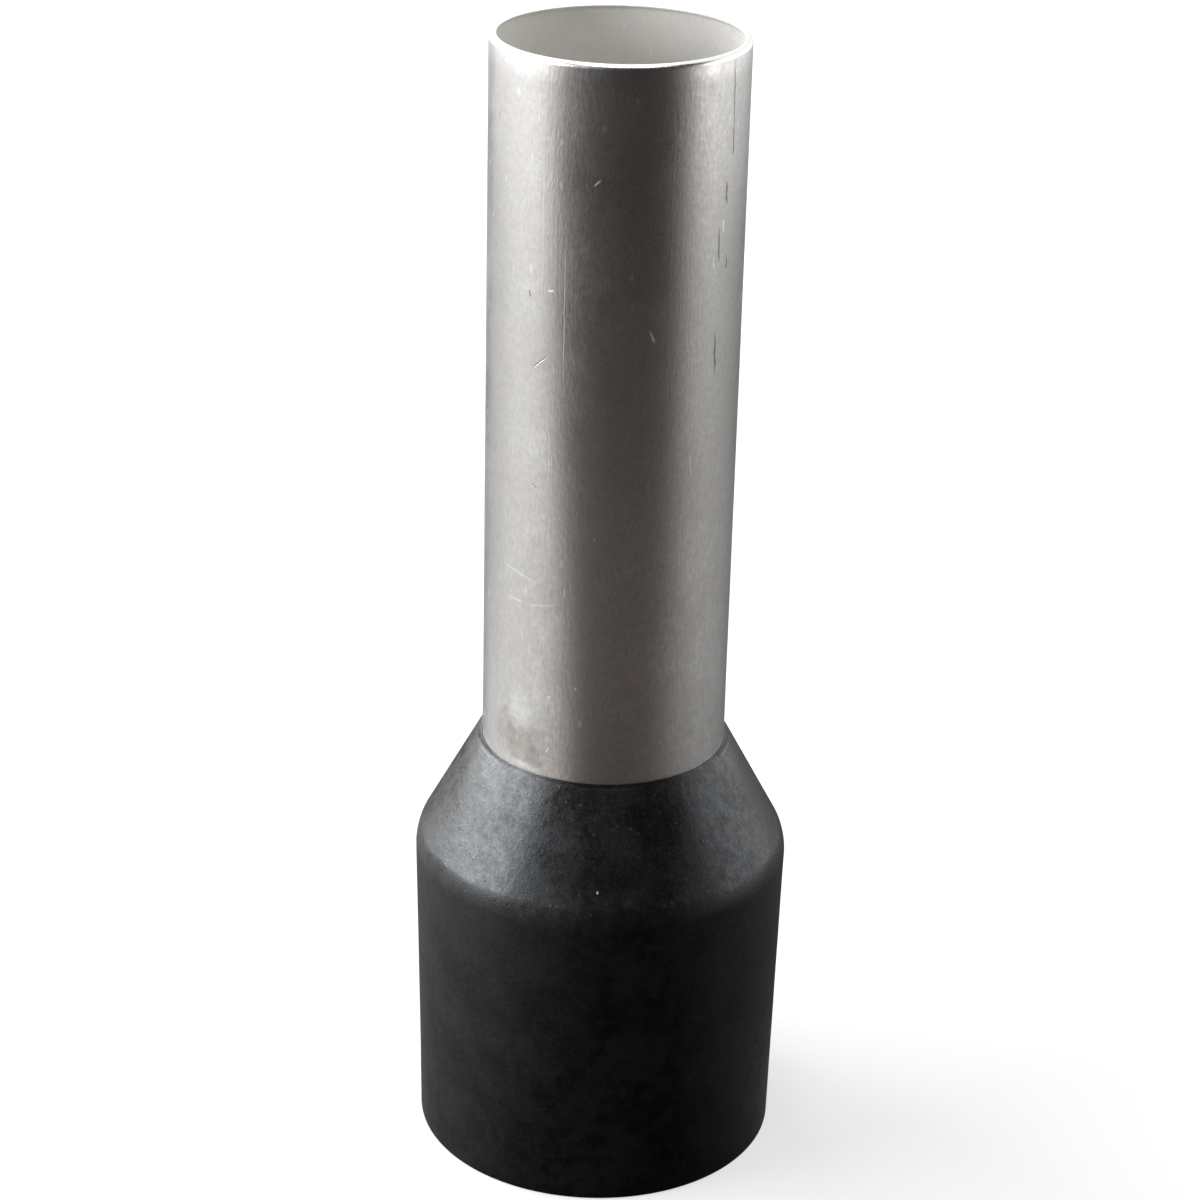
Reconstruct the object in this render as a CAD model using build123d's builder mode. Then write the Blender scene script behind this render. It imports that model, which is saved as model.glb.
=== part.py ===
"""Insulated end sleeve for a 25 mm2 stranded conductor.

Two pieces share the Z axis. The collar stands on its open mouth at Z = 0 and the bare
sleeve points up. The stripped conductor enters from below, through mouth and funnel.

metal_sleeve        thin drawn tube of tinned copper, flared at its lower end
insulating_collar   moulded black collar, pressed over the sleeve down to the flare

All sizes are in millimetres and all angles in degrees.
"""

import os
from math import cos, radians, sin, tan

from build123d import *

# Sleeve
sleeve_bore = 7.3
sleeve_wall = 0.2
sleeve_reach = 22.5  # bare length above the collar
rim_outer_chamfer = 0.1
rim_inner_chamfer = 0.04
flare_length = 1.4  # along the axis
flare_angle = 35.0  # from the axis
flare_bend = 0.8  # radius on the outside of the wall

# Collar
collar_length = 13.9
grip_length = 2.0  # neck bore, from the collar's top down to the flare's corner
grip_clearance = 0.01  # between the collar's seat and the sleeve
neck_wall = 0.15  # plastic around the sleeve at the collar's top
neck_chamfer = 0.05
shoulder_height = 10.3  # corner between skirt and cone
shoulder_radius = 1.5
skirt_bore = 10.8
mouth_wall = 0.4
mouth_rounding = 0.1
mouth_lead_in = 0.12  # chamfer inside the mouth
skirt_draft = 1.0  # the skirt narrows towards its mouth
funnel_blend = 0.5  # radius where the skirt bore meets the funnel

bore_radius = sleeve_bore / 2
sleeve_radius = bore_radius + sleeve_wall
sleeve_top = collar_length + sleeve_reach
flare_slope = tan(radians(flare_angle))
flare_start = collar_length - grip_length


def flare_corner(growth):
    """Radius and height of the flare's corner, on a line that far outside the sleeve."""
    return sleeve_radius + growth, flare_start + growth * tan(radians(flare_angle / 2))


def flare_edge(growth):
    """Radius and height of the flare's lower edge, on a line that far outside the sleeve."""
    across = flare_length * flare_slope + growth * cos(radians(flare_angle))
    down = flare_length - growth * sin(radians(flare_angle))
    return sleeve_radius + across, flare_start - down


# The sleeve is a strip of even wall, revolved. Its rim is cut square and deburred.
with BuildPart() as metal_sleeve:
    with BuildSketch(Plane.XZ):
        with BuildLine():
            FilletPolyline(
                flare_edge(0),
                flare_corner(0),
                (sleeve_radius, sleeve_top),
                (bore_radius, sleeve_top),
                flare_corner(-sleeve_wall),
                flare_edge(-sleeve_wall),
                radius=(0, flare_bend, 0, 0, flare_bend + sleeve_wall, 0),
                close=True,
            )
        make_face()
    revolve(axis=Axis.Z)
    rim_edges = metal_sleeve.edges().filter_by(GeomType.CIRCLE).group_by(Axis.Z)[-1]
    inner_rim, outer_rim = rim_edges.sort_by(SortBy.RADIUS)
    chamfer(outer_rim, rim_outer_chamfer)
    chamfer(inner_rim, rim_inner_chamfer)
metal_sleeve.part.label = "metal_sleeve"

skirt_bore_radius = skirt_bore / 2
mouth_radius = skirt_bore_radius + mouth_wall
shoulder_corner = mouth_radius + shoulder_height * tan(radians(skirt_draft))
neck_radius = sleeve_radius + neck_wall

# The funnel carries on the flare's inner face down to the skirt bore, so that no strand
# catches on the metal's edge.
funnel_top_radius, funnel_top = flare_edge(-sleeve_wall)
funnel_bottom = funnel_top - (skirt_bore_radius - funnel_top_radius) / flare_slope

with BuildPart() as insulating_collar:
    # Outside
    with BuildSketch(Plane.XZ):
        with BuildLine():
            FilletPolyline(
                (0, 0),
                (mouth_radius, 0),
                (shoulder_corner, shoulder_height),
                (neck_radius, collar_length),
                (0, collar_length),
                radius=(0, mouth_rounding, shoulder_radius, 0, 0),
                close=True,
            )
        make_face()
    revolve(axis=Axis.Z)
    # Room for the conductor's insulation, and the funnel above it
    with BuildSketch(Plane.XZ):
        with BuildLine():
            FilletPolyline(
                (0, 0),
                (skirt_bore_radius, 0),
                (skirt_bore_radius, funnel_bottom),
                (funnel_top_radius, funnel_top),
                (0, funnel_top),
                radius=(0, 0, funnel_blend, 0, 0),
                close=True,
            )
        make_face()
    revolve(axis=Axis.Z, mode=Mode.SUBTRACT)
    # Seat for the flare and bore for the tube, both along the sleeve's outside
    with BuildSketch(Plane.XZ):
        with BuildLine():
            seat = FilletPolyline(
                flare_edge(grip_clearance),
                flare_corner(grip_clearance),
                (sleeve_radius + grip_clearance, collar_length),
                radius=flare_bend - grip_clearance,
            )
            Polyline(seat @ 1, (0, collar_length), (0, funnel_top))
            Polyline((0, funnel_top), (funnel_top_radius, funnel_top), seat @ 0)
        make_face()
    revolve(axis=Axis.Z, mode=Mode.SUBTRACT)
    mouth_edges = insulating_collar.edges().filter_by(GeomType.CIRCLE).group_by(Axis.Z)[0]
    chamfer(mouth_edges.sort_by(SortBy.RADIUS)[0], mouth_lead_in)
    neck_edges = insulating_collar.edges().filter_by(GeomType.CIRCLE).group_by(Axis.Z)[-1]
    chamfer(neck_edges.sort_by(SortBy.RADIUS)[-1], neck_chamfer)
insulating_collar.part.label = "insulating_collar"

os.makedirs("parts", exist_ok=True)
for piece in (metal_sleeve, insulating_collar):
    export_step(piece.part, f"parts/{piece.part.label}.step")
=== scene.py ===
"""Looks of an insulated wire ferrule: the drawn tin-plated sleeve and its moulded black collar.

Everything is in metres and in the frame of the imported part: the collar's open mouth stands
on Z = 0 and the sleeve points up. Angles round the axis are in degrees, 0 at the front
(towards the camera) and positive to the camera's right.
"""

from math import atan, cos, log, pi, radians, sin, tan

import bmesh
import bpy
from mathutils import Matrix, Vector


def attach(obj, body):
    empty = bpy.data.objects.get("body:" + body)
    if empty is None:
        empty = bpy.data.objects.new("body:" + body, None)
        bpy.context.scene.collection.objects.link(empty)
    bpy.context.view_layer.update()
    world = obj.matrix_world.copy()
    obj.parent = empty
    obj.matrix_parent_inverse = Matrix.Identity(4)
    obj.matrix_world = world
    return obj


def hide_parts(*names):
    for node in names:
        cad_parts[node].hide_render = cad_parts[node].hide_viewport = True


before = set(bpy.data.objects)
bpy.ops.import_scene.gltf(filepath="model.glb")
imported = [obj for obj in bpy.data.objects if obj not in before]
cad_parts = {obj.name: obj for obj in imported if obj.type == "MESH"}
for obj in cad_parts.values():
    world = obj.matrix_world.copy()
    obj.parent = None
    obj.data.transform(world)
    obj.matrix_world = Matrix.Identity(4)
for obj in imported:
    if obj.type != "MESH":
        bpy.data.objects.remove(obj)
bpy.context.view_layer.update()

mm = 0.001
ring_points = 256  # points on each ring of both pieces
weld_distance = 0.0005 * mm  # points closer than that become one
smooth_angle = 35.0  # edges that turn less than that are shaded smooth

# Sleeve, as in the solid that it replaces, with a finer rim
sleeve_bore = 7.3 * mm
sleeve_wall = 0.2 * mm
sleeve_reach = 22.5 * mm
rim_outer_rounding = 0.15 * mm
rim_inner_rounding = 0.04 * mm
rim_burr = 0.06 * mm  # the cut pushes the wall's edge in by that much
rim_burr_height = 0.12 * mm
flare_length = 1.4 * mm
flare_angle = 35.0
flare_bend = 0.8 * mm

# Collar, as in the solid that it replaces, with a rounder neck
collar_length = 13.9 * mm
grip_length = 2.0 * mm
grip_clearance = 0.01 * mm
neck_wall = 0.15 * mm
neck_rounding = 0.22 * mm
shoulder_height = 10.3 * mm
shoulder_radius = 1.5 * mm
skirt_bore = 10.8 * mm
mouth_wall = 0.4 * mm
mouth_rounding = 0.1 * mm
mouth_lead_in = 0.12 * mm
skirt_draft = 1.0
funnel_blend = 0.5 * mm

bore_radius = sleeve_bore / 2
sleeve_radius = bore_radius + sleeve_wall
sleeve_top = collar_length + sleeve_reach
flare_slope = tan(radians(flare_angle))
flare_start = collar_length - grip_length
skirt_bore_radius = skirt_bore / 2
mouth_radius = skirt_bore_radius + mouth_wall
neck_radius = sleeve_radius + neck_wall
shoulder_corner = mouth_radius + shoulder_height * tan(radians(skirt_draft))

# Waves that drawing and moulding leave in a wall
tube_wave_depth = 0.01 * mm
tube_wave_length = 5.0 * mm
collar_wave_depth = 0.02 * mm
collar_wave_length = 4.0 * mm
collar_wave_lowest = 0.2 * mm
collar_wave_highest = 13.2 * mm
wave_fade = 2.0 * mm  # the waves grow from nothing over that much at both ends


def flare_corner(growth):
    """Radius and height of the flare's corner, on a line that far outside the sleeve."""
    return sleeve_radius + growth, flare_start + growth * tan(radians(flare_angle / 2))


def flare_edge(growth):
    """Radius and height of the flare's lower edge, on a line that far outside the sleeve."""
    across = flare_length * flare_slope + growth * cos(radians(flare_angle))
    down = flare_length - growth * sin(radians(flare_angle))
    return sleeve_radius + across, flare_start - down


# Modelling

def open_ring(name, radius, height):
    """A circle at its size and place, open for editing and selected all over."""
    bpy.ops.object.select_all(action="DESELECT")
    bpy.ops.mesh.primitive_circle_add(vertices=ring_points, radius=radius, location=(0, 0, height))
    piece = bpy.context.object
    piece.name = name
    piece.data.name = name
    bpy.ops.object.transform_apply(location=True, rotation=True, scale=True)
    bpy.ops.object.mode_set(mode="EDIT")
    bpy.ops.mesh.select_mode(type="EDGE")
    bpy.ops.mesh.select_all(action="SELECT")
    return piece


def extrude_ring(start, end):
    """Draws the selected ring out from one radius and height to the next."""
    growth = end[0] / start[0]
    rise = end[1] - start[1]
    bpy.ops.mesh.extrude_region_move(TRANSFORM_OT_translate={"value": (0, 0, rise)})
    bpy.ops.transform.resize(value=(growth, growth, 1), center_override=(0, 0, end[1]))


def close_wall():
    """Bridges the last ring to the first and turns all faces outwards."""
    bpy.ops.mesh.select_all(action="DESELECT")
    bpy.ops.mesh.select_non_manifold()
    bpy.ops.mesh.bridge_edge_loops()
    bpy.ops.mesh.select_all(action="SELECT")
    bpy.ops.mesh.remove_doubles(threshold=weld_distance)
    bpy.ops.mesh.normals_make_consistent(inside=False)


def select_ring(piece, radius, height):
    """Selects the ring of edges at that radius and height."""
    near = 0.002 * mm
    bpy.ops.mesh.select_all(action="DESELECT")
    mesh = bmesh.from_edit_mesh(piece.data)
    for edge in mesh.edges:
        off = [abs(Vector(v.co[:2]).length - radius) + abs(v.co.z - height) for v in edge.verts]
        edge.select_set(max(off) < near)
    bmesh.update_edit_mesh(piece.data)


def turn_at(before, corner, after):
    """Angle in radians by which the outline turns at a corner."""
    arriving = Vector(corner) - Vector(before)
    leaving = Vector(after) - Vector(corner)
    return arriving.angle(leaving)


def round_ring(piece, outline, place, bend, segments):
    """Rounds one corner of the outline to a bend of that radius."""
    before = outline[place - 1]
    corner = outline[place]
    after = outline[(place + 1) % len(outline)]
    reach = bend * tan(turn_at(before, corner, after) / 2)
    select_ring(piece, *corner)
    bpy.ops.mesh.bevel(
        offset_type="OFFSET", offset=reach, segments=segments, affect="EDGES", clamp_overlap=False
    )


def cut_rings(heights):
    """Cuts extra rings into the walls, which the waves then move."""
    for height in heights:
        bpy.ops.mesh.select_all(action="SELECT")
        bpy.ops.mesh.bisect(plane_co=(0, 0, height), plane_no=(0, 0, 1))


def turned_wall(name, outline, bends):
    """A closed wall all round the axis: an outline of rings, with its corners rounded.

    The bends give the radius and the number of segments for some of the outline's corners.
    """
    piece = open_ring(name, *outline[0])
    for start, end in zip(outline, outline[1:]):
        extrude_ring(start, end)
    close_wall()
    for place, (bend, segments) in bends.items():
        round_ring(piece, outline, place, bend, segments)
    return piece


def wave_wall(piece, name, depth, length, lowest, highest):
    """Gives the wall between two heights the slight waves of the real one."""
    bpy.ops.object.mode_set(mode="OBJECT")
    group = piece.vertex_groups.new(name=name)
    for vertex in piece.data.vertices:
        height = vertex.co.z
        room = min(height - lowest, highest - height)
        weight = min(max(room / wave_fade, 0), 1)
        group.add([vertex.index], weight, "REPLACE")
    waves = bpy.data.textures.new(name, type="CLOUDS")
    waves.noise_scale = length
    waves.noise_depth = 1
    displace = piece.modifiers.new(name, "DISPLACE")
    displace.texture = waves
    displace.texture_coords = "LOCAL"
    displace.vertex_group = name
    displace.strength = depth
    displace.mid_level = 1.0
    bpy.ops.object.modifier_apply(modifier=name)
    piece.vertex_groups.clear()


def finish_piece(piece, node, material):
    """Smooth shading, material, and what the piece stands for."""
    bpy.ops.object.shade_smooth_by_angle(angle=radians(smooth_angle))
    piece.data.materials.clear()
    piece.data.materials.append(material)
    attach(piece, "root")
    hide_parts(node)
    bpy.ops.object.select_all(action="DESELECT")


def drawn_sleeve(material):
    """The tin-plated tube, flared where the collar hides it and cut square at its rim."""
    outline = [
        flare_edge(0),
        flare_corner(0),
        (sleeve_radius, sleeve_top),
        (bore_radius - rim_burr, sleeve_top),
        (bore_radius, sleeve_top - rim_burr_height),
        flare_corner(-sleeve_wall),
        flare_edge(-sleeve_wall),
    ]
    bends = {
        1: (flare_bend, 6),
        2: (rim_outer_rounding, 6),
        3: (rim_inner_rounding, 4),
        4: (rim_burr_height, 2),
        5: (flare_bend + sleeve_wall, 6),
    }
    piece = turned_wall("drawn_sleeve", outline, bends)
    ring_step = 0.75 * mm
    rim_margin = 0.04 * mm
    steps = range(1, int(sleeve_reach / ring_step))
    last_ring = sleeve_top - rim_outer_rounding - rim_margin
    cut_rings([collar_length + step * ring_step for step in steps] + [last_ring])
    wave_wall(piece, "drawing_waves", tube_wave_depth, tube_wave_length, collar_length, sleeve_top)
    finish_piece(piece, "metal_sleeve", material)


def moulded_collar(material):
    """The black collar: mouth, skirt, shoulder, cone and neck outside, bore, funnel and seat inside."""
    funnel_top = flare_edge(-sleeve_wall)
    funnel_bottom = funnel_top[1] - (skirt_bore_radius - funnel_top[0]) / flare_slope
    outline = [
        (mouth_radius, 0),
        (shoulder_corner, shoulder_height),
        (neck_radius, collar_length),
        (sleeve_radius + grip_clearance, collar_length),
        flare_corner(grip_clearance),
        flare_edge(grip_clearance),
        funnel_top,
        (skirt_bore_radius, funnel_bottom),
        (skirt_bore_radius, mouth_lead_in),
        (skirt_bore_radius + mouth_lead_in, 0),
    ]
    bends = {
        0: (mouth_rounding, 4),
        1: (shoulder_radius, 12),
        2: (neck_rounding, 6),
        4: (flare_bend - grip_clearance, 5),
        7: (funnel_blend, 4),
    }
    piece = turned_wall("moulded_collar", outline, bends)
    ring_step = 0.7 * mm
    steps = range(1, int(collar_length / ring_step))
    cut_rings([step * ring_step for step in steps])
    wave_span = (collar_wave_lowest, collar_wave_highest)
    wave_wall(piece, "moulding_waves", collar_wave_depth, collar_wave_length, *wave_span)
    finish_piece(piece, "insulating_collar", material)


# Shader helpers

def add(tree, kind, inputs=None, **settings):
    """Adds a node with its settings, and fills its inputs with links or values."""
    node = tree.nodes.new(kind)
    for name, value in settings.items():
        setattr(node, name, value)
    for name, value in (inputs or {}).items():
        if isinstance(value, bpy.types.NodeSocket):
            tree.links.new(value, node.inputs[name])
        else:
            node.inputs[name].default_value = value
    return node


def calc(tree, operation, *values):
    """The result of a Math node."""
    return add(tree, "ShaderNodeMath", dict(enumerate(values)), operation=operation).outputs[0]


def times(tree, first, second):
    """The product of two values."""
    return calc(tree, "MULTIPLY", first, second)


def weighted(tree, parts):
    """The sum of values, each times its weight."""
    total = 0.0
    for value, weight in parts:
        total = calc(tree, "MULTIPLY_ADD", value, weight, total)
    return total


def ramp(tree, value, low, high, start=0.0, end=1.0):
    """A smooth step: start below low, end above high."""
    inputs = {"Value": value, "From Min": low, "From Max": high, "To Min": start, "To Max": end}
    return add(tree, "ShaderNodeMapRange", inputs, interpolation_type="SMOOTHSTEP").outputs[0]


def blend(tree, factor, first, second):
    """A value between two values."""
    return add(tree, "ShaderNodeMix", {0: factor, 2: first, 3: second}).outputs[0]


def mixed(tree, factor, first, second):
    """A colour between two colours."""
    inputs = {0: factor, 6: first, 7: second}
    return add(tree, "ShaderNodeMix", inputs, data_type="RGBA").outputs[2]


def layered(tree, base, layers):
    """A colour with others laid over it, each with its mask and how strongly it covers."""
    for mask, strength, colour in layers:
        base = mixed(tree, times(tree, mask, strength), base, colour)
    return base


def own_place(tree):
    """The object's own coordinates."""
    return add(tree, "ShaderNodeTexCoord").outputs["Object"]


def one_by_one(tree, vector):
    """X, Y and Z of a vector as values."""
    return add(tree, "ShaderNodeSeparateXYZ", {"Vector": vector}).outputs


def stretched(tree, vector, scale):
    """The coordinates times a scale for each axis."""
    inputs = {"Vector": vector, "Scale": scale}
    return add(tree, "ShaderNodeMapping", inputs, vector_type="POINT").outputs[0]


def span(tree, vector):
    """How far a point lies from the origin."""
    return add(tree, "ShaderNodeVectorMath", {0: vector}, operation="LENGTH").outputs["Value"]


def from_axis(tree, vector):
    """How far a point lies from the ferrule's axis."""
    return span(tree, stretched(tree, vector, (1.0, 1.0, 0.0)))


def noise(tree, vector, scale, detail=2.0, roughness=0.5):
    """A noise value between 0 and 1."""
    inputs = {"Vector": vector, "Scale": scale, "Detail": detail, "Roughness": roughness}
    return add(tree, "ShaderNodeTexNoise", inputs).outputs[0]


def raised(tree, parts, depth):
    """The normal of a surface that the weighted parts raise, up to that depth at a weight of 1."""
    height = weighted(tree, parts)
    return add(tree, "ShaderNodeBump", {"Strength": 1.0, "Distance": depth, "Height": height}).outputs[0]


def new_group(name, inputs, result):
    """An empty shader group with its inputs and one result, and its input and output nodes."""
    tree = bpy.data.node_groups.new(name, "ShaderNodeTree")
    for label, kind, value in inputs:
        socket = tree.interface.new_socket(label, in_out="INPUT", socket_type=kind)
        if value is not None:
            socket.default_value = value
    tree.interface.new_socket(result, in_out="OUTPUT", socket_type="NodeSocketFloat")
    return tree, tree.nodes.new("NodeGroupInput").outputs, tree.nodes.new("NodeGroupOutput").inputs


def use_group(tree, group, inputs):
    """Places a group with its own values, and gives its result."""
    return add(tree, "ShaderNodeGroup", inputs, node_tree=group).outputs[0]


def new_material(name):
    """A material with an empty tree but for its output."""
    material = bpy.data.materials.new(name)
    material.use_nodes = True
    tree = material.node_tree
    tree.nodes.clear()
    return material, tree, tree.nodes.new("ShaderNodeOutputMaterial")


# Effects that both materials use

def mottle_group():
    """Soft uneven patches, between 0 and 1."""
    inputs = [
        ("Vector", "NodeSocketVector", None),
        ("Patches per mm", "NodeSocketFloat", 0.5),
        ("Contrast", "NodeSocketFloat", 1.0),
    ]
    tree, given, made = new_group("uneven_patches", inputs, "Patches")
    scale = times(tree, given["Patches per mm"], 1 / mm)
    clouds = noise(tree, given["Vector"], scale, detail=4.0, roughness=0.6)
    swing = times(tree, calc(tree, "SUBTRACT", clouds, 0.5), given["Contrast"])
    level = add(tree, "ShaderNodeMath", {0: swing, 1: 0.5}, operation="ADD", use_clamp=True).outputs[0]
    tree.links.new(level, made["Patches"])
    return tree


def patches(tree, group, vector, per_mm, contrast):
    """Uneven patches, so many to a millimetre."""
    return use_group(tree, group, {"Vector": vector, "Patches per mm": per_mm, "Contrast": contrast})


def nicks_group():
    """Small round marks, scattered, each with its own strength."""
    inputs = [
        ("Vector", "NodeSocketVector", None),
        ("Cells per mm", "NodeSocketFloat", 2.0),
        ("Size", "NodeSocketFloat", 0.2),
        ("Share", "NodeSocketFloat", 0.3),
    ]
    tree, given, made = new_group("scattered_nicks", inputs, "Nicks")
    scale = times(tree, given["Cells per mm"], 1 / mm)
    cells = add(tree, "ShaderNodeTexVoronoi", {"Vector": given["Vector"], "Scale": scale})
    spot = ramp(tree, cells.outputs["Distance"], given["Size"], 0.0)
    chance = add(tree, "ShaderNodeSeparateColor", {"Color": cells.outputs["Color"]})
    kept = calc(tree, "LESS_THAN", chance.outputs[0], given["Share"])
    strength = times(tree, kept, chance.outputs[1])
    tree.links.new(times(tree, spot, strength), made["Nicks"])
    return tree


def scattered(tree, group, vector, per_mm, size, share):
    """Scattered marks: cells to a millimetre, size in cells, and the share of cells that have one."""
    return use_group(tree, group, {"Vector": vector, "Cells per mm": per_mm, "Size": size, "Share": share})


def band_group():
    """A worn or polished band along a round edge of that radius and height."""
    inputs = [
        ("Vector", "NodeSocketVector", None),
        ("Radius", "NodeSocketFloat", 0.004),
        ("Height", "NodeSocketFloat", 0.0),
        ("Reach", "NodeSocketFloat", 0.0003),
        ("Breakup", "NodeSocketFloat", 0.3),
    ]
    tree, given, made = new_group("edge_band", inputs, "Band")
    place = one_by_one(tree, given["Vector"])
    across = add(tree, "ShaderNodeCombineXYZ", {"X": place["X"], "Y": place["Y"]}).outputs[0]
    out = calc(tree, "SUBTRACT", span(tree, across), given["Radius"])
    up = calc(tree, "SUBTRACT", place["Z"], given["Height"])
    distance = span(tree, add(tree, "ShaderNodeCombineXYZ", {"X": out, "Y": up}).outputs[0])
    breakup = times(tree, noise(tree, given["Vector"], 3 / mm, 3.0), given["Breakup"])
    reach = times(tree, given["Reach"], calc(tree, "SUBTRACT", 1.0, breakup))
    share = calc(tree, "DIVIDE", distance, reach)
    tree.links.new(ramp(tree, share, 1.0, 0.0), made["Band"])
    return tree


def edge_band(tree, group, vector, radius, height, reach, breakup):
    """A broken band along the round edge at that radius and height."""
    place = {"Vector": vector, "Radius": radius, "Height": height}
    return use_group(tree, group, {**place, "Reach": reach, "Breakup": breakup})


def stroke_group():
    """One scratch or speck at a place on the wall, given by its angle, height, size and lean."""
    inputs = [
        ("Vector", "NodeSocketVector", None),
        ("Angle", "NodeSocketFloat", 0.0),
        ("Radius", "NodeSocketFloat", 0.004),
        ("Height", "NodeSocketFloat", 0.02),
        ("Length", "NodeSocketFloat", 0.001),
        ("Width", "NodeSocketFloat", 0.0001),
        ("Lean", "NodeSocketFloat", 0.0),
        ("Waver", "NodeSocketFloat", 0.0),
    ]
    tree, given, made = new_group("single_stroke", inputs, "Stroke")
    place = one_by_one(tree, given["Vector"])
    angle = calc(tree, "ARCTAN2", place["X"], times(tree, place["Y"], -1.0))
    turned = calc(tree, "SUBTRACT", angle, calc(tree, "RADIANS", given["Angle"]))
    around = times(tree, turned, given["Radius"])
    along = calc(tree, "SUBTRACT", place["Z"], given["Height"])
    lean = calc(tree, "RADIANS", given["Lean"])
    lean_cos = calc(tree, "COSINE", lean)
    lean_sin = calc(tree, "SINE", lean)
    side = calc(tree, "SUBTRACT", times(tree, around, lean_cos), times(tree, along, lean_sin))
    side = calc(tree, "ADD", side, times(tree, given["Waver"], given["Width"]))
    end = calc(tree, "ADD", times(tree, around, lean_sin), times(tree, along, lean_cos))
    side_share = calc(tree, "DIVIDE", calc(tree, "ABSOLUTE", side), times(tree, given["Width"], 0.5))
    end_share = calc(tree, "DIVIDE", calc(tree, "ABSOLUTE", end), times(tree, given["Length"], 0.5))
    inside = times(tree, ramp(tree, side_share, 1.0, 0.2), ramp(tree, end_share, 1.0, 0.4))
    tree.links.new(inside, made["Stroke"])
    return tree


def strokes(tree, group, vector, marks, radius):
    """All marks of a list as one mask."""
    waver = calc(tree, "SUBTRACT", noise(tree, vector, 4 / mm, 3.0), 0.5)
    total = 0.0
    for angle, height, length, width, lean in marks:
        place = {"Vector": vector, "Radius": radius, "Angle": angle, "Height": height}
        size = {"Length": length, "Width": width, "Lean": lean, "Waver": waver}
        total = calc(tree, "MAXIMUM", use_group(tree, group, {**place, **size}), total)
    return total


# Sleeve finish

plating_relief = 0.012 * mm
tin_dull = (0.74, 0.732, 0.72, 1)
tin_bright = (0.95, 0.944, 0.935, 1)
# Polished tin, also the colour of painted highlights on the rim and just above the collar
tin_polished_and_highlight = (0.94, 0.935, 0.925, 1)
tin_frosted = (0.92, 0.915, 0.905, 1)
blotch_grey = (0.50, 0.49, 0.48, 1)
cloud_grey = (0.54, 0.52, 0.51, 1)
nick_grey = (0.3, 0.29, 0.27, 1)
die_grey = (0.16, 0.155, 0.15, 1)
stain_grey = (0.35, 0.32, 0.27, 1)
# Inner face: painted light on its left, painted shade on its right
inside_painted_light = (0.96, 0.94, 0.89, 1)
inside_painted_shade = (0.2, 0.194, 0.181, 1)

# Dark broken marks that the drawing die left: angle, height, length, width, lean
die_marks = [
    (58.9, 35.2 * mm, 2.4 * mm, 0.09 * mm, -2.0),
    (59.7, 33.8 * mm, 1.2 * mm, 0.10 * mm, -2.0),
    (55.6, 32.3 * mm, 0.9 * mm, 0.14 * mm, -3.0),
    (51.2, 30.8 * mm, 1.3 * mm, 0.10 * mm, -3.0),
    (57.5, 30.2 * mm, 0.5 * mm, 0.07 * mm, -2.0),
    (51.3, 27.5 * mm, 1.6 * mm, 0.12 * mm, -3.0),
    (-39.5, 29.4 * mm, 0.3 * mm, 0.06 * mm, -12.0),
    (-33.5, 27.4 * mm, 0.75 * mm, 0.06 * mm, 48.0),
    (-72.0, 32.3 * mm, 0.2 * mm, 0.10 * mm, 0.0),
    (-35.2, 23.45 * mm, 0.3 * mm, 0.05 * mm, -62.0),
]

# Bright scratches and specks
bright_marks = [
    (17.3, 28.4 * mm, 0.55 * mm, 0.09 * mm, -28.0),
    (38.7, 24.2 * mm, 1.1 * mm, 0.07 * mm, -8.0),
    (-26.4, 16.67 * mm, 0.13 * mm, 0.22 * mm, 0.0),
    (-13.3, 17.1 * mm, 0.12 * mm, 0.1 * mm, 30.0),
    (-26.4, 14.86 * mm, 0.25 * mm, 0.1 * mm, 20.0),
    (59.8, 35.89 * mm, 0.2 * mm, 0.14 * mm, 0.0),
    (-8.3, 33.0 * mm, 0.34 * mm, 0.09 * mm, 42.0),
    (-28.4, 29.64 * mm, 0.08 * mm, 0.2 * mm, 0.0),
    (54.0, 31.4 * mm, 0.5 * mm, 0.09 * mm, -3.0),
    (48.0, 30.4 * mm, 0.4 * mm, 0.08 * mm, -3.0),
]

# Scratches that only show as a faint light line or smear, and, last, a painted highlight just above the
# collar
faint_marks_and_foot_highlight = [
    (-43.6, 20.48 * mm, 1.7 * mm, 0.10 * mm, -79.0),
    (-46.2, 19.58 * mm, 0.9 * mm, 0.12 * mm, -86.0),
    (-30.8, 19.66 * mm, 1.3 * mm, 0.12 * mm, 77.0),
    (-19.4, 20.21 * mm, 0.4 * mm, 0.08 * mm, 0.0),
    (-21.1, 21.14 * mm, 0.3 * mm, 0.14 * mm, 14.0),
    (-27.0, 27.25 * mm, 0.3 * mm, 0.06 * mm, -8.0),
    (-36.0, 34.72 * mm, 0.3 * mm, 0.07 * mm, 0.0),
    (-68.9, 31.32 * mm, 0.2 * mm, 0.10 * mm, 0.0),
    (-6.1, 22.06 * mm, 0.1 * mm, 0.10 * mm, 0.0),
    (-43.0, 15.9 * mm, 1.6 * mm, 0.9 * mm, -20.0),
    (-22.0, 29.0 * mm, 5.0 * mm, 0.05 * mm, 0.0),
    (-33.0, 31.6 * mm, 4.0 * mm, 0.04 * mm, 0.0),
    (-28.5, 24.6 * mm, 3.0 * mm, 0.04 * mm, 0.0),
    # painted highlight: a light band just above the collar on the left, where the foot catches the window
    # light
    (-37.5, 14.1 * mm, 1.4 * mm, 0.32 * mm, -82.0),
]

# Greyish smudge at the foot
stains = [
    (-48.0, 15.0 * mm, 2.2 * mm, 1.7 * mm, -60.0),
    (-33.0, 14.8 * mm, 1.7 * mm, 1.3 * mm, 0.0),
]


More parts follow.
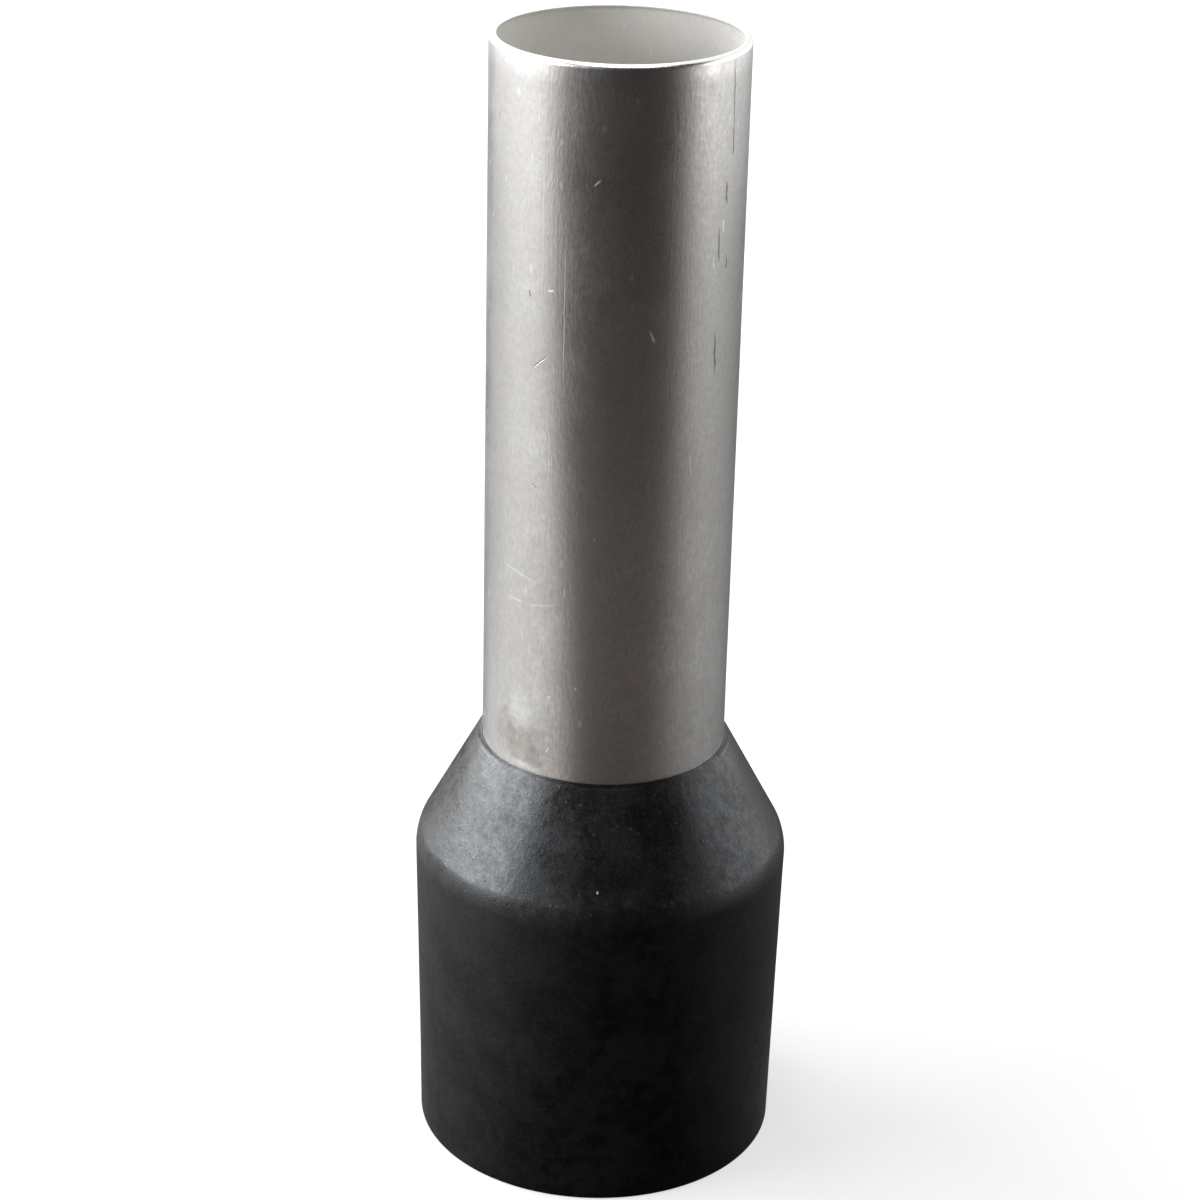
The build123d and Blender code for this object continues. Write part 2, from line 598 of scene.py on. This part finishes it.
def tinned_copper(mottle, nicks, band, stroke):
    """Satin tin plating: drawn streaks along the tube, grain, blotches, nicks, a stain, a polished rim
    with a painted highlight, a painted highlight just above the collar, and an inner face with painted
    light on the left and painted shade on the right.
    """
    material, tree, output = new_material("tinned_copper")
    vector = own_place(tree)
    place = one_by_one(tree, vector)

    # Streaks and patches all over
    streaks = noise(tree, stretched(tree, vector, (12 / mm, 12 / mm, 3.2 / mm)), 1.0, 2.0, 0.55)
    grain = noise(tree, stretched(tree, vector, (9 / mm, 9 / mm, 6 / mm)), 1.0, 1.0, 0.5)
    lines = noise(tree, stretched(tree, vector, (6 / mm, 6 / mm, 0.06 / mm)), 1.0, 3.0, 0.6)
    ridges = ramp(tree, lines, 0.55, 0.72)
    texture = weighted(tree, [(streaks, 0.55), (grain, 0.45)])
    blotches = patches(tree, mottle, vector, per_mm=0.5, contrast=1.8)
    clouds = patches(tree, mottle, vector, per_mm=2.2, contrast=2.0)
    frost = patches(tree, mottle, vector, per_mm=5.0, contrast=2.0)
    tall = stretched(tree, vector, (1.0, 1.0, 0.5))
    pale_nicks = scattered(tree, nicks, tall, per_mm=2.4, size=0.22, share=0.3)
    dark_nicks = scattered(tree, nicks, tall, per_mm=2.9, size=0.2, share=0.1)

    # Single marks, and a painted highlight just above the collar
    die = strokes(tree, stroke, vector, die_marks, sleeve_radius)
    bright = strokes(tree, stroke, vector, bright_marks, sleeve_radius)
    faint = strokes(tree, stroke, vector, faint_marks_and_foot_highlight, sleeve_radius)
    pale = calc(tree, "MAXIMUM", times(tree, pale_nicks, 0.6), times(tree, faint, 0.4))
    bright = calc(tree, "MAXIMUM", pale, bright)
    stain = strokes(tree, stroke, vector, stains, sleeve_radius)
    stain = times(tree, stain, ramp(tree, noise(tree, vector, 2.5 / mm, 3.0, 0.6), 0.2, 0.75))
    wall_middle = sleeve_radius - sleeve_wall / 2
    # Polished band along the rim; its lighter colour also paints a wider highlight on the rim
    rim = edge_band(tree, band, vector, wall_middle, sleeve_top, reach=0.2 * mm, breakup=0.3)

    # The wall's inner face, and the raised edge at the foot's left
    inside = calc(tree, "LESS_THAN", from_axis(tree, vector), bore_radius + sleeve_wall / 4)
    foot = ramp(tree, place["Z"], collar_length + 0.3 * mm, collar_length)
    foot = times(tree, foot, ramp(tree, place["X"], -1.9 * mm, -2.6 * mm))

    tin = mixed(tree, ramp(tree, texture, 0.4, 0.6), tin_dull, tin_bright)
    # The inner face's colour runs from painted light on the left to painted shade on the right
    inside_painted_shading = mixed(tree, ramp(tree, place["X"], -1.5 * mm, 3.4 * mm), inside_painted_light, inside_painted_shade)
    tin = layered(tree, tin, [
        (blotches, 0.7, blotch_grey),
        (clouds, 0.6, cloud_grey),
        (frost, 0.35, tin_frosted),
        (inside, 0.75, inside_painted_shading),
        (dark_nicks, 0.35, nick_grey),
        (die, 0.75, die_grey),
        (stain, 0.75, stain_grey),
        # Bright marks and rim take the polished colour, which also paints highlights on the rim and above
        # the collar
        (calc(tree, "MAXIMUM", bright, rim), 1.0, tin_polished_and_highlight),
    ])
    metal = calc(tree, "MULTIPLY_ADD", inside, -0.8, 1.0)
    rough = weighted(tree, [
        (ramp(tree, blotches, 0.2, 0.8, 0.288, 0.338), 1.0),
        (ramp(tree, texture, 0.36, 0.64, 0.5, -0.5), 0.045),
        (ramp(tree, clouds, 0.2, 0.8, -0.5, 0.5), 0.02),
        (bright, 0.2),
        (stain, 0.15),
        (rim, -0.1),
        (inside, 0.4),
    ])
    normal = raised(tree, [
        (streaks, 0.28),
        (grain, 0.17),
        (ridges, 0.07),
        (bright, -0.25),
        (die, -0.5),
        (foot, 1.0),
    ], plating_relief)

    surface = {"Base Color": tin, "Metallic": metal, "Roughness": rough, "Normal": normal}
    shader = add(tree, "ShaderNodeBsdfPrincipled", {**surface, "Anisotropic": 0.3})
    tree.links.new(shader.outputs[0], output.inputs["Surface"])
    return material


# Collar finish

moulding_relief = 0.007 * mm
plastic_dark = (0.0012, 0.0012, 0.0013, 1)
plastic_light = (0.0078, 0.0078, 0.0083, 1)
scuff_grey = (0.35, 0.36, 0.38, 1)
dust_and_glint_grey = (0.5, 0.5, 0.52, 1)
speck_grey = (0.42, 0.40, 0.40, 1)
speck_radius = 5.3 * mm  # of the shoulder where the specks lie

# Pale specks on the collar: angle, height, length, width, lean
dust_specks = [
    (-0.6, 11.06 * mm, 0.10 * mm, 0.09 * mm, 0.0),
]


def neck_lip(tree, vector):
    """A height that makes the thin lip at the top lean like the cone below it, and how high it rises."""
    cone_slope = (collar_length - shoulder_height) / (shoulder_corner - neck_radius)
    turn = atan(cone_slope)
    start = neck_radius - neck_rounding * tan(turn / 2)
    reach = neck_rounding * sin(turn)
    rise = -neck_rounding * log(cos(turn))
    across = {"Value": from_axis(tree, vector), "From Min": start, "From Max": start + reach}
    lip = add(tree, "ShaderNodeMapRange", {**across, "To Min": 1.0, "To Max": 0.0}).outputs[0]
    return calc(tree, "POWER", lip, cone_slope * reach / rise), rise


def black_plastic(mottle, nicks, band, stroke):
    """Matte black moulding with a fine grain, dust and scuffs on its shoulder; the dust specks are lighter
    also to paint glints.
    """
    material, tree, output = new_material("black_plastic")
    vector = own_place(tree)

    # Grain and patches all over
    grain = patches(tree, mottle, vector, per_mm=12.0, contrast=1.6)
    pebbles = patches(tree, mottle, vector, per_mm=6.0, contrast=1.8)
    clouds = patches(tree, mottle, vector, per_mm=2.5, contrast=2.0)
    flow = patches(tree, mottle, vector, per_mm=0.6, contrast=1.8)
    pits = scattered(tree, nicks, vector, per_mm=9.0, size=0.5, share=1.0)
    dust_and_glints = scattered(tree, nicks, vector, per_mm=4.5, size=0.3, share=0.4)

    # Wear on shoulder and cone, and single specks
    shoulder_place = (shoulder_corner - 0.25 * mm, shoulder_height + 0.3 * mm)
    shoulder = edge_band(tree, band, vector, *shoulder_place, reach=1.6 * mm, breakup=0.9)
    cone_place = (neck_radius + 0.4 * mm, collar_length - 1.1 * mm)
    cone = edge_band(tree, band, vector, *cone_place, reach=2.4 * mm, breakup=0.6)
    dusty = calc(tree, "MAXIMUM", shoulder, cone)
    scuffed = times(tree, dusty, ramp(tree, flow, 0.3, 0.8))
    specks = strokes(tree, stroke, vector, dust_specks, speck_radius)

    tone = ramp(tree, weighted(tree, [(flow, 0.4), (clouds, 0.6)]), 0.25, 0.75)
    black = layered(tree, mixed(tree, tone, plastic_dark, plastic_light), [
        (scuffed, 0.012, scuff_grey),
        # dust specks, lightened also as painted glints
        (times(tree, dust_and_glints, dusty), 0.1, dust_and_glint_grey),
        (specks, 1.0, speck_grey),
    ])
    rough = weighted(tree, [
        (ramp(tree, flow, 0.2, 0.8, 0.36, 0.43), 1.0),
        (ramp(tree, clouds, 0.2, 0.8, 0.05, -0.05), 1.0),
        (ramp(tree, grain, 0.2, 0.8, 0.03, -0.03), 1.0),
        (ramp(tree, pebbles, 0.2, 0.8, 0.04, -0.04), 1.0),
        (scuffed, 0.06),
    ])
    lip, lip_rise = neck_lip(tree, vector)
    normal = raised(tree, [
        (grain, 0.16),
        (pebbles, 0.2),
        (clouds, 0.95),
        (pits, 0.22),
        (dust_and_glints, 0.8),
        (lip, lip_rise / moulding_relief),
    ], moulding_relief)

    surface = {"Base Color": black, "Roughness": rough, "Normal": normal}
    sheen = {"IOR": 1.47, "Specular Tint": (0.92, 0.96, 1.0, 1)}
    shader = add(tree, "ShaderNodeBsdfPrincipled", {**surface, **sheen})
    tree.links.new(shader.outputs[0], output.inputs["Surface"])
    return material


# Stage

def shown_directly(tree):
    """1 on camera, glossy and transmission rays, 0 on rays that only carry light."""
    path = add(tree, "ShaderNodeLightPath").outputs
    direct = calc(tree, "MAXIMUM", path["Is Camera Ray"], path["Is Glossy Ray"])
    return calc(tree, "MAXIMUM", direct, path["Is Transmission Ray"])


def white_surround(light):
    """A white world, which lights the object at a plainer level than it shows."""
    world = bpy.data.worlds.new("white_surround")
    bpy.context.scene.world = world
    world.use_nodes = True
    tree = world.node_tree
    tree.nodes.clear()
    strength = ramp(tree, shown_directly(tree), 0.0, 1.0, light, 1.0)
    background = add(tree, "ShaderNodeBackground", {"Color": (1, 1, 1, 1), "Strength": strength})
    output = tree.nodes.new("ShaderNodeOutputWorld")
    tree.links.new(background.outputs[0], output.inputs["Surface"])


def pale_floor():
    """A wide pale floor that shows white and keeps the object's shadow."""
    floor_size = 6.0
    paper_grey = (0.25, 0.25, 0.25, 1)
    bpy.ops.mesh.primitive_plane_add(size=floor_size, location=(0, 0, 0))
    floor = bpy.context.object
    floor.name = "pale_floor"
    material, tree, output = new_material("pale_floor")
    paper = add(tree, "ShaderNodeBsdfDiffuse", {"Color": paper_grey})
    level = ramp(tree, span(tree, own_place(tree)), 40 * mm, 200 * mm, 0.65, 1.0)
    glow = add(tree, "ShaderNodeEmission", {"Strength": times(tree, shown_directly(tree), level)})
    both = add(tree, "ShaderNodeAddShader", {0: paper.outputs[0], 1: glow.outputs[0]})
    tree.links.new(both.outputs[0], output.inputs["Surface"])
    floor.data.materials.append(material)
    bpy.ops.object.select_all(action="DESELECT")


def reflection_only(card, material):
    """Makes a card show in reflections alone, so that it hides and shades nothing."""
    card.data.materials.append(material)
    card.visible_camera = False
    card.visible_diffuse = False
    card.visible_shadow = False
    card.visible_transmission = False
    bpy.ops.object.select_all(action="DESELECT")


def front_sector(tree, place, left, right, left_soft, right_soft):
    """1 in the sector in front of the object, between two angles, and 0 elsewhere, with soft edges."""
    angle = calc(tree, "ARCTAN2", place["X"], times(tree, place["Y"], -1.0))
    past_left = calc(tree, "DIVIDE", calc(tree, "SUBTRACT", angle, left), left_soft)
    past_right = calc(tree, "DIVIDE", calc(tree, "SUBTRACT", right, angle), right_soft)
    return times(tree, ramp(tree, past_left, -1.0, 1.0), ramp(tree, past_right, -1.0, 1.0))


def mat_on_left(tree, radius, backward):
    """How brightly the mat glows on the window's side, as painted window light: darker near the object as
    painted shade, lighter further off, and dimmer towards the back.
    """
    near = ramp(tree, radius, 16 * mm, 30 * mm, 0.28, 0.80)
    far = ramp(tree, radius, 110 * mm, 200 * mm, 0.0, 0.6)
    rest_near = ramp(tree, radius, 30 * mm, 50 * mm, 0.92, 0.68)
    rest_far = ramp(tree, radius, 100 * mm, 160 * mm, 0.0, 0.15)
    rest = calc(tree, "ADD", rest_near, rest_far)
    left = times(tree, calc(tree, "ADD", near, far), ramp(tree, backward, 0.1, 0.5, 1.0, rest))
    return times(tree, left, ramp(tree, backward, 0.6, 0.9, 1.0, 0.5))


def mat_on_right(tree, radius, backward, depth):
    """How brightly the mat glows on the right: greyer near the object as painted shade, and dimmer towards
    the back.
    """
    near = ramp(tree, radius, 14 * mm, 42 * mm, 0.07, 0.38)
    far = ramp(tree, radius, 100 * mm, 180 * mm, 0.0, 1.2)
    right = times(tree, calc(tree, "ADD", near, far), ramp(tree, depth, 0, 50 * mm, 1.0, 0.85))
    return times(tree, right, ramp(tree, backward, 0.25, 0.75, 1.0, 0.75))


def mat_in_front(tree, radius):
    """How brightly the mat glows in front, as painted shade, where tube and collar mirror it in their dark
    core.
    """
    near = ramp(tree, radius, 18 * mm, 36 * mm, 0.02, 0.10)
    far = ramp(tree, radius, 45 * mm, 90 * mm, 0.0, 0.07)
    return calc(tree, "SUBTRACT", near, far)


def painted_reflection_mat():
    """A round glowing mat that only reflections show, a painted reflection of lit and shaded surroundings:
    light towards the window, greyer on the right, dark in front.
    """
    mat_radius = 600 * mm
    mat_height = 0.02 * mm
    side_tint = (1.0, 1.0, 0.99, 1)
    front_tint = (1.0, 0.86, 0.80, 1)
    material, tree, output = new_material("painted_reflection_mat")
    vector = own_place(tree)
    place = one_by_one(tree, vector)
    radius = span(tree, vector)
    backward = calc(tree, "DIVIDE", place["Y"], radius)
    left = mat_on_left(tree, radius, backward)
    right = mat_on_right(tree, radius, backward, place["Y"])
    sides = blend(tree, ramp(tree, place["X"], -30 * mm, 30 * mm), left, right)
    sides = times(tree, sides, ramp(tree, backward, 0.7, 0.95, 1.0, 0.42))
    left_edge = ramp(tree, radius, 30 * mm, 90 * mm, radians(-37.5), radians(-56))
    right_edge = ramp(tree, radius, 60 * mm, 120 * mm, radians(64), radians(68))
    left_soft = ramp(tree, radius, 25 * mm, 60 * mm, radians(26), radians(14))
    right_soft = ramp(tree, radius, 25 * mm, 60 * mm, radians(34), radians(20))
    sector = front_sector(tree, place, left_edge, right_edge, left_soft, right_soft)
    grey = blend(tree, sector, sides, mat_in_front(tree, radius))
    tint = mixed(tree, sector, side_tint, front_tint)
    # The mat's glow is painted light and shade, seen only in reflections
    glow = add(tree, "ShaderNodeEmission", {"Color": tint, "Strength": grey})
    tree.links.new(glow.outputs[0], output.inputs["Surface"])
    bpy.ops.mesh.primitive_circle_add(
        vertices=64, radius=mat_radius, fill_type="NGON", location=(0, 0, mat_height)
    )
    mat = bpy.context.object
    mat.name = "painted_reflection_mat"
    bpy.ops.object.transform_apply(location=True, rotation=True, scale=True)
    reflection_only(mat, material)


def painted_shade_hood():
    """A dark card bent over the camera like a hood, seen only in reflections: painted shade that gives
    metal and collar their dark core.
    """
    hood_radius = 0.6
    hood_shade_grey = (0.0125, 0.0105, 0.0098, 1)
    edge_softness = radians(14)
    material, tree, output = new_material("painted_shade_hood")
    place = one_by_one(tree, own_place(tree))
    rise = calc(tree, "DIVIDE", place["Z"], hood_radius)
    left = ramp(tree, rise, sin(radians(35)), sin(radians(75)), radians(-56), radians(-80))
    right = ramp(tree, rise, sin(radians(15)), sin(radians(60)), radians(74), radians(112))
    # a faint glow that paints the shaded room in front, seen only in reflections
    card = add(tree, "ShaderNodeEmission", {"Color": hood_shade_grey})
    clear = add(tree, "ShaderNodeBsdfTransparent")
    sector = front_sector(tree, place, left, right, edge_softness, edge_softness)
    both = add(tree, "ShaderNodeMixShader", {0: sector, 1: clear.outputs[0], 2: card.outputs[0]})
    tree.links.new(both.outputs[0], output.inputs["Surface"])
    bpy.ops.mesh.primitive_uv_sphere_add(segments=64, ring_count=32, radius=hood_radius)
    hood = bpy.context.object
    hood.name = "painted_shade_hood"
    bpy.ops.object.mode_set(mode="EDIT")
    bpy.ops.mesh.select_all(action="SELECT")
    bpy.ops.mesh.bisect(plane_co=(0, 0, 0), plane_no=(0, 0, 1), clear_inner=True)
    bpy.ops.object.mode_set(mode="OBJECT")
    reflection_only(hood, material)


def soft_lamp(name, azimuth, elevation, distance, size, radiance):
    """A rectangular softbox that faces the object from a direction, as bright as its radiance."""
    aim = Vector((0, 0, 15 * mm))
    width, height = size
    outward = Vector((
        sin(radians(azimuth)) * cos(radians(elevation)),
        -cos(radians(azimuth)) * cos(radians(elevation)),
        sin(radians(elevation)),
    ))
    data = bpy.data.lights.new(name, type="AREA")
    data.shape = "RECTANGLE"
    data.size = width
    data.size_y = height
    data.energy = radiance * pi * width * height
    lamp = bpy.data.objects.new(name, data)
    bpy.context.scene.collection.objects.link(lamp)
    lamp.location = aim + outward * distance
    lamp.rotation_euler = outward.to_track_quat("Z", "Y").to_euler()


def photo_camera():
    """The camera of the photograph: where it stands, how it is turned and how long its lens is."""
    place = Vector((0, -88.6, 57.65)) * mm
    pitch = radians(23.88)  # down
    yaw = radians(-0.132)
    roll = radians(1.419)
    sensor = 36.0
    image_width = 1200
    focal_pixels = 3092.2
    forward = Vector((sin(yaw) * cos(pitch), cos(yaw) * cos(pitch), -sin(pitch)))
    level = forward.cross(Vector((0, 0, 1))).normalized()
    upright = level.cross(forward)
    right = level * cos(roll) + upright * sin(roll)
    up = upright * cos(roll) - level * sin(roll)
    data = bpy.data.cameras.new("photo_camera")
    data.sensor_width = sensor
    data.lens = focal_pixels * sensor / image_width
    data.clip_start = 1 * mm
    camera = bpy.data.objects.new("photo_camera", data)
    bpy.context.scene.collection.objects.link(camera)
    turn = Matrix((right, up, -forward)).transposed().to_4x4()
    camera.matrix_world = Matrix.Translation(place) @ turn
    bpy.context.scene.camera = camera


def stage():
    """Floor, surround, cards, lamps and camera."""
    white_surround(light=0.14)
    pale_floor()
    painted_reflection_mat()
    painted_shade_hood()
    soft_lamp("window_light", azimuth=-95, elevation=25, distance=0.30, size=(0.38, 0.20), radiance=11.7)
    soft_lamp("back_light", azimuth=-139, elevation=26, distance=0.32, size=(0.26, 0.24), radiance=5.0)
    soft_lamp("fill_light", azimuth=113, elevation=14, distance=0.35, size=(0.46, 0.19), radiance=1.7)
    soft_lamp("top_light", azimuth=8, elevation=82, distance=0.35, size=(0.22, 0.20), radiance=4.0)
    photo_camera()
    bpy.context.scene.view_settings.view_transform = "Standard"


stage()
effects = (mottle_group(), nicks_group(), band_group(), stroke_group())
drawn_sleeve(tinned_copper(*effects))
moulded_collar(black_plastic(*effects))
